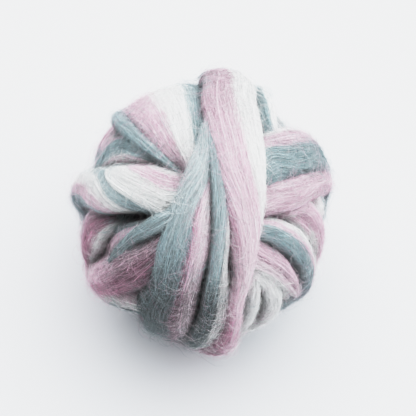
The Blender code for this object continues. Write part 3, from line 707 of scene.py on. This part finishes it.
def ribbons(name, centre, side, width, colour, material):
    """Fibres as flat ribbons. centre and side are (fibres, points, 3), width (fibres, points)."""
    count, points = width.shape
    off = side * (0.5 * width)[..., None]
    verts = np.stack([centre - off, centre + off], 2).reshape(-1, 3)
    first = (np.arange(count) * points)[:, None] + np.arange(points - 1)
    a = first * 2
    faces = np.stack([a, a + 1, a + 3, a + 2], -1).reshape(-1, 4).tolist()
    shade = np.repeat(colour.reshape(-1, 3), 2, 0)
    return link_mesh(name, place(verts), faces, shade, {}, material)


def ribbon_sides(centre, roll):
    """Width directions of ribbons that lie on the ball, each rolled about its own run."""
    run = np.gradient(centre, axis=1)
    run = unit(run)
    out = unit(centre)
    side = unit(np.cross(run, out))
    lie = np.cross(side, run)
    return side * np.cos(roll)[:, None, None] + lie * np.sin(roll)[:, None, None]


def taper(points):
    s = np.linspace(0.0, 1.0, points)
    return np.clip(np.minimum(s, 1.0 - s) * 5.0 + 0.35, 0.0, 1.0)


def scatter(rng, count, front):
    """Directions over the ball, with a share of them drawn to the best side."""
    d = unit(rng.normal(size=(count, 3)))
    turn = rng.random(count) < front
    d[:, 2] = np.where(turn, np.abs(d[:, 2]), d[:, 2])
    return d


LYING_SETS = 3
LYING_IN_SET = 11000
LYING_FRONT = 0.5                   # share drawn to the best side
LYING_POINTS = 5
LYING_LENGTHS = (10.0, 30.0)        # mm
LYING_WIDTHS = (0.10, 0.24)
LYING_TINT = 0.14


def lying_fibres(rng, heights, paths):
    """Fibres that follow the roving on the wraps that show."""
    d = scatter(rng, LYING_IN_SET, LYING_FRONT)
    owner = heights.top(d)
    chunks = []
    for number, path in enumerate(paths):
        mine = d[owner == number]
        if not len(mine):
            continue
        n = len(mine)
        t0, q0 = path.locate(mine)
        length = rng.uniform(*LYING_LENGTHS, n)
        s = np.linspace(-0.5, 0.5, LYING_POINTS)
        run = length[:, None] * s
        t = t0[:, None] + run / path.reach
        drift = rng.normal(0.0, 0.05, n)[:, None] * run
        swing = rng.uniform(0.05, 0.35, n)[:, None]
        wave = rng.uniform(8.0, 20.0, n)[:, None]
        phase = rng.uniform(0.0, 6.28, n)[:, None]
        offset = drift + swing * np.sin(run / wave * 6.28 + phase)
        half_mm = np.maximum(path.half_angle(t) * BALL_RADIUS, 0.8)
        lean = 2.0 * (path.slide(t) - path.slide(t0)[:, None])
        q = q0[:, None] + lean + offset / half_mm
        raised = rng.exponential(0.16, n)[:, None] + 0.02
        arch = rng.exponential(0.25, n)[:, None] * (1.0 - (2.0 * s) ** 2)
        height = path.surface(t, q) + path.strands(t, np.clip(q, -1.0, 1.0)) + raised + arch
        dirs = path.point(t, np.clip(q, -1.06, 1.06))
        if path.dug:
            height -= pit_depth(dirs)
        spill = rng.normal(0.0, 0.022, n)[:, None]
        stray = np.where(rng.random(n) < 0.025, rng.normal(0.0, 0.25, n), 0.0)[:, None]
        colour = stripe_colour(path, t, q0[:, None] + lean, spill + stray)
        # painted shade of the folds on the fibres, then painted light and shade: where the wrap
        # carries painted shade, about a fifth of the fibres are painted lighter, as if catching
        # light, and the rest darker
        colour = colour * heights.painted_shade_at(dirs)
        painted_shade_depth = np.clip(1.0 - path.tone(t0), 0.0, 1.0)
        light = np.where(rng.random(n) < 0.22, 1.0 + 1.3 * painted_shade_depth, 1.0 - 0.5 * painted_shade_depth)
        chunks.append((dirs * height[..., None], colour * light[:, None, None]))
    centre = np.concatenate([c for c, _ in chunks])
    colour = np.concatenate([c for _, c in chunks])
    order = rng.permutation(len(centre))
    return centre[order], colour[order]


def tinted(rng, colour, spread):
    """Each fibre a little lighter or darker, paler or fuller than its stripe."""
    n = len(colour)
    white = np.clip(colour.min(axis=(1, 2)) / 0.9, 0.0, 1.0) ** 3
    light = np.exp(rng.normal(0.0, 1.0, n) * spread * (1.0 - 0.8 * white))[:, None, None]
    wash = np.clip(rng.normal(0.02, 0.07, n), 0.0, 0.5)[:, None, None]
    vivid = np.clip(rng.normal(1.0, 0.30, n), 0.2, 1.8)[:, None, None]
    even = colour.mean(2, keepdims=True)
    colour = even + (colour - even) * vivid
    colour = colour * light * (1.0 - wash) + 0.92 * wash
    return np.clip(colour, 0.0, 0.95)


# sets of this many fibres each, with the share drawn to the best side; length, height off the
# surface, bow and width in mm; turn from the roving in radians, curl in radians a mm
Loose = namedtuple("Loose", "name sets count front lengths turn curl lift bow points widths tint")
LOOSE = (
    Loose("frizz", 2, 13000, 0.5, (3.0, 9.0), 0.40, 0.16, 0.22, 0.25, 5, (0.06, 0.12), 0.22),
    Loose("flyaway", 1, 4500, 0.2, (8.0, 20.0), 0.7, 0.07, 0.4, 1.1, 7, (0.05, 0.08), 0.10),
    Loose("halo", 2, 12000, 0.0, (3.0, 8.0), 1.2, 0.20, 0.5, 0.9, 4, (0.04, 0.07), 0.10),
)
LOOSE_REACH = 6.0                   # no loose fibre stands further off the surface, mm


def wandering_fibres(rng, heights, paths, kind):
    """Fibres that cross the roving: they start along a wrap and curl away over the surface."""
    n, points_each = kind.count, kind.points
    d = scatter(rng, n, kind.front)
    owner = heights.top(d)
    flow = np.zeros_like(d)
    for number, path in enumerate(paths):
        mine = owner == number
        ring = np.cross(path.normal, d[mine])
        flow[mine] = unit(ring)
    flow[owner < 0] = unit(np.cross(d[owner < 0], POLE))
    heading = rng.normal(0.0, kind.turn, n)
    bend = rng.normal(0.0, kind.curl, n)
    length = rng.uniform(*kind.lengths, n)
    step = length / (points_each - 1)
    points = [d]
    here, course = d, flow
    side = np.cross(here, course)
    course = course * np.cos(heading)[:, None] + side * np.sin(heading)[:, None]
    for k in range(points_each - 1):
        bend = bend + rng.normal(0.0, 0.35 * kind.curl, n)
        side = np.cross(here, course)
        angle = (bend * step)[:, None]
        course = unit(course * np.cos(angle) + side * np.sin(angle))
        here = unit(here + course * (step / BALL_RADIUS)[:, None])
        course = unit(course - here * np.sum(course * here, 1, keepdims=True))
        points.append(here)
    dirs = np.stack(points, 1)
    height = heights.at(dirs)
    taut = height
    for _ in range(12):
        wide = np.concatenate([taut[:, :1], taut, taut[:, -1:]], 1)
        taut = np.maximum(height, 0.5 * (wide[:, :-2] + wide[:, 2:]))
    s = np.linspace(0.0, 1.0, points_each)
    lift = rng.exponential(kind.lift, n)[:, None] + 0.15
    arch = rng.exponential(kind.bow, n)[:, None] * (4.0 * s * (1.0 - s))
    free = rng.random(n) < 0.5
    rise = np.where(free, rng.exponential(kind.bow, n), 0.0)[:, None] * s ** 2
    highest = heights.at(dirs) + LOOSE_REACH
    height = np.minimum(0.3 * height + 0.7 * taut + lift + arch + rise, highest)
    own = np.zeros((n, 3))
    for number, path in enumerate(paths):
        mine = owner == number
        if mine.any():
            t0, q0 = path.locate(d[mine])
            # painted light: loose fibres take back half of their wrap's painted shade, as if
            # standing up into the light; the painted fold shade is then multiplied in
            painted_fibre_light = 0.5 + 0.5 / np.clip(path.tone(t0), 0.3, 1.0)
            own[mine] = stripe_colour(path, t0, q0, 0.0) * painted_fibre_light[:, None]
    colour = np.broadcast_to(own[:, None, :], dirs.shape) * heights.painted_shade_at(dirs)
    return dirs * height[..., None], colour


# ---------------------------------------------------------------- materials
def new_material(name):
    material = bpy.data.materials.new(name)
    material.use_nodes = True
    nodes = material.node_tree.nodes
    return material, nodes, material.node_tree.links, nodes["Principled BSDF"]


def wool_material():
    """Packed fibres: streaks of light and dark along the run, and a fine bump."""
    material, nodes, links, shader = new_material("wool_roving")
    shader.inputs["Roughness"].default_value = 0.92
    shader.inputs["Specular IOR Level"].default_value = 0.15
    shader.inputs["Sheen Weight"].default_value = 0.25
    shader.inputs["Sheen Roughness"].default_value = 0.6
    tint = nodes.new("ShaderNodeAttribute")
    tint.attribute_name = "tint"
    run = nodes.new("ShaderNodeAttribute")
    run.attribute_name = "run"
    across = nodes.new("ShaderNodeAttribute")
    across.attribute_name = "across"
    place_on = nodes.new("ShaderNodeCombineXYZ")
    slow = nodes.new("ShaderNodeMath")
    slow.operation = "MULTIPLY"
    slow.inputs[1].default_value = 0.09
    quick = nodes.new("ShaderNodeMath")
    quick.operation = "MULTIPLY"
    quick.inputs[1].default_value = 2.4
    links.new(run.outputs["Fac"], slow.inputs[0])
    links.new(across.outputs["Fac"], quick.inputs[0])
    links.new(slow.outputs[0], place_on.inputs["X"])
    links.new(quick.outputs[0], place_on.inputs["Y"])
    streaks = nodes.new("ShaderNodeTexNoise")
    streaks.inputs["Scale"].default_value = 1.0
    streaks.inputs["Detail"].default_value = 4.0
    streaks.inputs["Roughness"].default_value = 0.65
    links.new(place_on.outputs["Vector"], streaks.inputs["Vector"])
    shade = nodes.new("ShaderNodeMapRange")
    shade.inputs["From Min"].default_value = 0.25
    shade.inputs["From Max"].default_value = 0.75
    shade.inputs["To Min"].default_value = 0.74
    shade.inputs["To Max"].default_value = 1.10
    links.new(streaks.outputs["Fac"], shade.inputs["Value"])
    mix = nodes.new("ShaderNodeVectorMath")
    mix.operation = "SCALE"
    links.new(tint.outputs["Color"], mix.inputs[0])
    links.new(shade.outputs["Result"], mix.inputs["Scale"])
    links.new(mix.outputs["Vector"], shader.inputs["Base Color"])
    bump = nodes.new("ShaderNodeBump")
    bump.inputs["Strength"].default_value = 0.5
    bump.inputs["Distance"].default_value = 0.0003
    links.new(streaks.outputs["Fac"], bump.inputs["Height"])
    links.new(bump.outputs["Normal"], shader.inputs["Normal"])
    return material


def fibre_material():
    """Single fibres: the stripe's colour with small uneven patches."""
    material, nodes, links, shader = new_material("wool_fibre")
    shader.inputs["Roughness"].default_value = 0.8
    shader.inputs["Specular IOR Level"].default_value = 0.25
    shader.inputs["Sheen Weight"].default_value = 0.2
    shader.inputs["Sheen Roughness"].default_value = 0.5
    tint = nodes.new("ShaderNodeAttribute")
    tint.attribute_name = "tint"
    where = nodes.new("ShaderNodeTexCoord")
    patches = nodes.new("ShaderNodeTexNoise")
    patches.inputs["Scale"].default_value = 900.0
    patches.inputs["Detail"].default_value = 2.0
    links.new(where.outputs["Object"], patches.inputs["Vector"])
    shade = nodes.new("ShaderNodeMapRange")
    shade.inputs["To Min"].default_value = 0.86
    shade.inputs["To Max"].default_value = 1.12
    links.new(patches.outputs["Fac"], shade.inputs["Value"])
    mix = nodes.new("ShaderNodeVectorMath")
    mix.operation = "SCALE"
    links.new(tint.outputs["Color"], mix.inputs[0])
    links.new(shade.outputs["Result"], mix.inputs["Scale"])
    links.new(mix.outputs["Vector"], shader.inputs["Base Color"])
    return material


def floor_material():
    """Pale matte board with a trace of unevenness."""
    material, nodes, links, shader = new_material("pale_floor")
    shader.inputs["Roughness"].default_value = 0.7
    shader.inputs["Specular IOR Level"].default_value = 0.2
    noise = nodes.new("ShaderNodeTexNoise")
    noise.inputs["Scale"].default_value = 2.0
    ramp = nodes.new("ShaderNodeMapRange")
    ramp.inputs["To Min"].default_value = 0.0
    ramp.inputs["To Max"].default_value = 1.0
    mix = nodes.new("ShaderNodeMix")
    mix.data_type = "RGBA"
    mix.inputs["A"].default_value = (0.712, 0.727, 0.752, 1.0)
    mix.inputs["B"].default_value = (0.722, 0.737, 0.762, 1.0)
    links.new(noise.outputs["Fac"], ramp.inputs["Value"])
    links.new(ramp.outputs["Result"], mix.inputs["Factor"])
    links.new(mix.outputs["Result"], shader.inputs["Base Color"])
    return material


# --------------------------------------------------------------------- ball
HEIGHTS, PATHS = wind()
HEIGHTS.shade()
wool = wool_material()
fibre = fibre_material()
NAMES = ["under_%d" % i for i in range(UNDER_COUNT)]
NAMES += ["back_%d" % i for i in range(BACK_COUNT)]
NAMES += [wrap.name for wrap in WRAPS]

made = []
for name, path in zip(NAMES, PATHS):
    made.append(band("wrap_" + name, path, wool))

rng = np.random.default_rng(7)
for k in range(LYING_SETS):
    centre, colour = lying_fibres(rng, HEIGHTS, PATHS)
    colour = tinted(rng, colour, LYING_TINT)
    side = ribbon_sides(centre, rng.normal(0.0, 0.5, len(centre)))
    width = rng.uniform(*LYING_WIDTHS, len(centre))[:, None] * taper(LYING_POINTS)
    made.append(ribbons("fibres_%d" % k, centre, side, width, colour, fibre))

for kind in LOOSE:
    for k in range(kind.sets):
        centre, colour = wandering_fibres(rng, HEIGHTS, PATHS, kind)
        colour = tinted(rng, colour, kind.tint)
        side = ribbon_sides(centre, rng.uniform(-1.5, 1.5, kind.count))
        width = rng.uniform(*kind.widths, kind.count)[:, None] * taper(kind.points)
        made.append(ribbons("%s_%d" % (kind.name, k), centre, side, width, colour, fibre))

for piece in made:
    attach(piece, "root")
    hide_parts("roving_ball")


# -------------------------------------------------------------------- stage
def make_floor():
    mesh = bpy.data.meshes.new("floor")
    half = 3.0
    corners = [(-half, -half, 0), (half, -half, 0), (half, half, 0), (-half, half, 0)]
    mesh.from_pydata(corners, [], [(0, 1, 2, 3)])
    mesh.materials.append(floor_material())
    floor = bpy.data.objects.new("floor", mesh)
    bpy.context.scene.collection.objects.link(floor)


SKY_LOW = 0.05                      # light from everywhere
# soft lobes of light: direction, level, and the cosines where it starts and is full
LOBES = (
    ((0.15, 0.34, 0.93), 1.90, 0.42, 1.0),
    ((0.82, -0.14, 0.45), 0.84, 0.25, 1.0),
    ((-0.75, 0.25, 0.50), 0.42, 0.25, 1.0),
)
# how the camera records light: straight in the shades, eased off in the brightest whites
SHOULDER = (
    (0.0, 0.0), (0.10, 0.100), (0.20, 0.245), (0.33, 0.47), (0.50, 0.685), (0.68, 0.805),
    (0.85, 0.860), (1.0, 0.883),
)


def make_light():
    """A soft tent of light: bright above and to the right, dimmer to the left and the front."""
    world = bpy.data.worlds.new("studio")
    world.use_nodes = True
    nodes, links = world.node_tree.nodes, world.node_tree.links
    sky = nodes["Background"]
    sky.inputs["Color"].default_value = (0.975, 0.99, 1.0, 1.0)
    where = nodes.new("ShaderNodeTexCoord")
    total = None
    for aim, high, start, full in LOBES:
        toward = nodes.new("ShaderNodeVectorMath")
        toward.operation = "DOT_PRODUCT"
        toward.inputs[1].default_value = Vector(aim).normalized()
        level = nodes.new("ShaderNodeMapRange")
        level.interpolation_type = "SMOOTHSTEP"
        level.inputs["From Min"].default_value = start
        level.inputs["From Max"].default_value = full
        level.inputs["To Min"].default_value = SKY_LOW / len(LOBES)
        level.inputs["To Max"].default_value = SKY_LOW / len(LOBES) + high
        links.new(where.outputs["Generated"], toward.inputs[0])
        links.new(toward.outputs["Value"], level.inputs["Value"])
        if total is None:
            total = level.outputs["Result"]
        else:
            both = nodes.new("ShaderNodeMath")
            both.operation = "ADD"
            links.new(total, both.inputs[0])
            links.new(level.outputs["Result"], both.inputs[1])
            total = both.outputs["Value"]
    links.new(total, sky.inputs["Strength"])
    bpy.context.scene.world = world


def make_film():
    view = bpy.context.scene.view_settings
    view.view_transform = "Standard"
    view.use_curve_mapping = True
    film = view.curve_mapping
    film.extend = "HORIZONTAL"
    line = film.curves[3].points
    line[0].location = SHOULDER[0]
    line[1].location = SHOULDER[-1]
    for x, y in SHOULDER[1:-1]:
        line.new(x, y)
    film.update()


SENSOR_MM = 36.0
FRAME_MM = 208.0                    # width of the picture at the ball's centre
FRAME_PIXELS = 416.0
SHIFT_PIXELS = (8.0, 2.0)           # how far the ball's centre lies left of and below the middle


def make_camera():
    """Camera square to the best side."""
    data = bpy.data.cameras.new("camera")
    data.sensor_width = SENSOR_MM
    data.lens = SENSOR_MM * EYE / FRAME_MM
    data.shift_x = SHIFT_PIXELS[0] / FRAME_PIXELS
    data.shift_y = SHIFT_PIXELS[1] / FRAME_PIXELS
    data.clip_start = 0.01
    data.clip_end = 20.0
    camera = bpy.data.objects.new("camera", data)
    right, up, out = (Vector(a) for a in AXES)
    turn = Matrix((right, up, out)).transposed()
    camera.matrix_world = Matrix.Translation(Vector(CENTRE * MM) + out * EYE * MM) @ turn.to_4x4()
    bpy.context.scene.collection.objects.link(camera)
    bpy.context.scene.camera = camera


make_floor()
make_light()
make_film()
make_camera()
